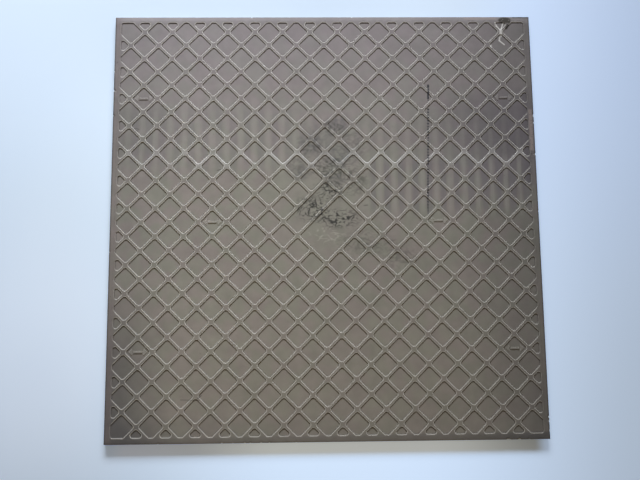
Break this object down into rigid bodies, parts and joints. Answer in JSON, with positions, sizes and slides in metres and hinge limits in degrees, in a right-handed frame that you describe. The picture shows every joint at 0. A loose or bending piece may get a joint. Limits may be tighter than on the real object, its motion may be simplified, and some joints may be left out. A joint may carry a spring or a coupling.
{
  "type": "wall tile",
  "caption": "Square porcelain wall tile lying glazed face down, its unglazed back pressed with a lattice of diagonal ribs round a plain middle panel.",
  "frame": {"origin": "middle of the glazed face, which lies on the surface as pictured", "axes": "+Z out of the ribbed back, +Y towards the top edge in the picture, +X towards its right edge"},
  "size_m": [0.6, 0.6, 0.0095],
  "materials": {
    "biscuit": "matt unglazed grey-brown biscuit back and edges, plain satin glazed front"
  },
  "bodies": {
    "root": {"tile": "biscuit"}
  },
  "joints": []
}
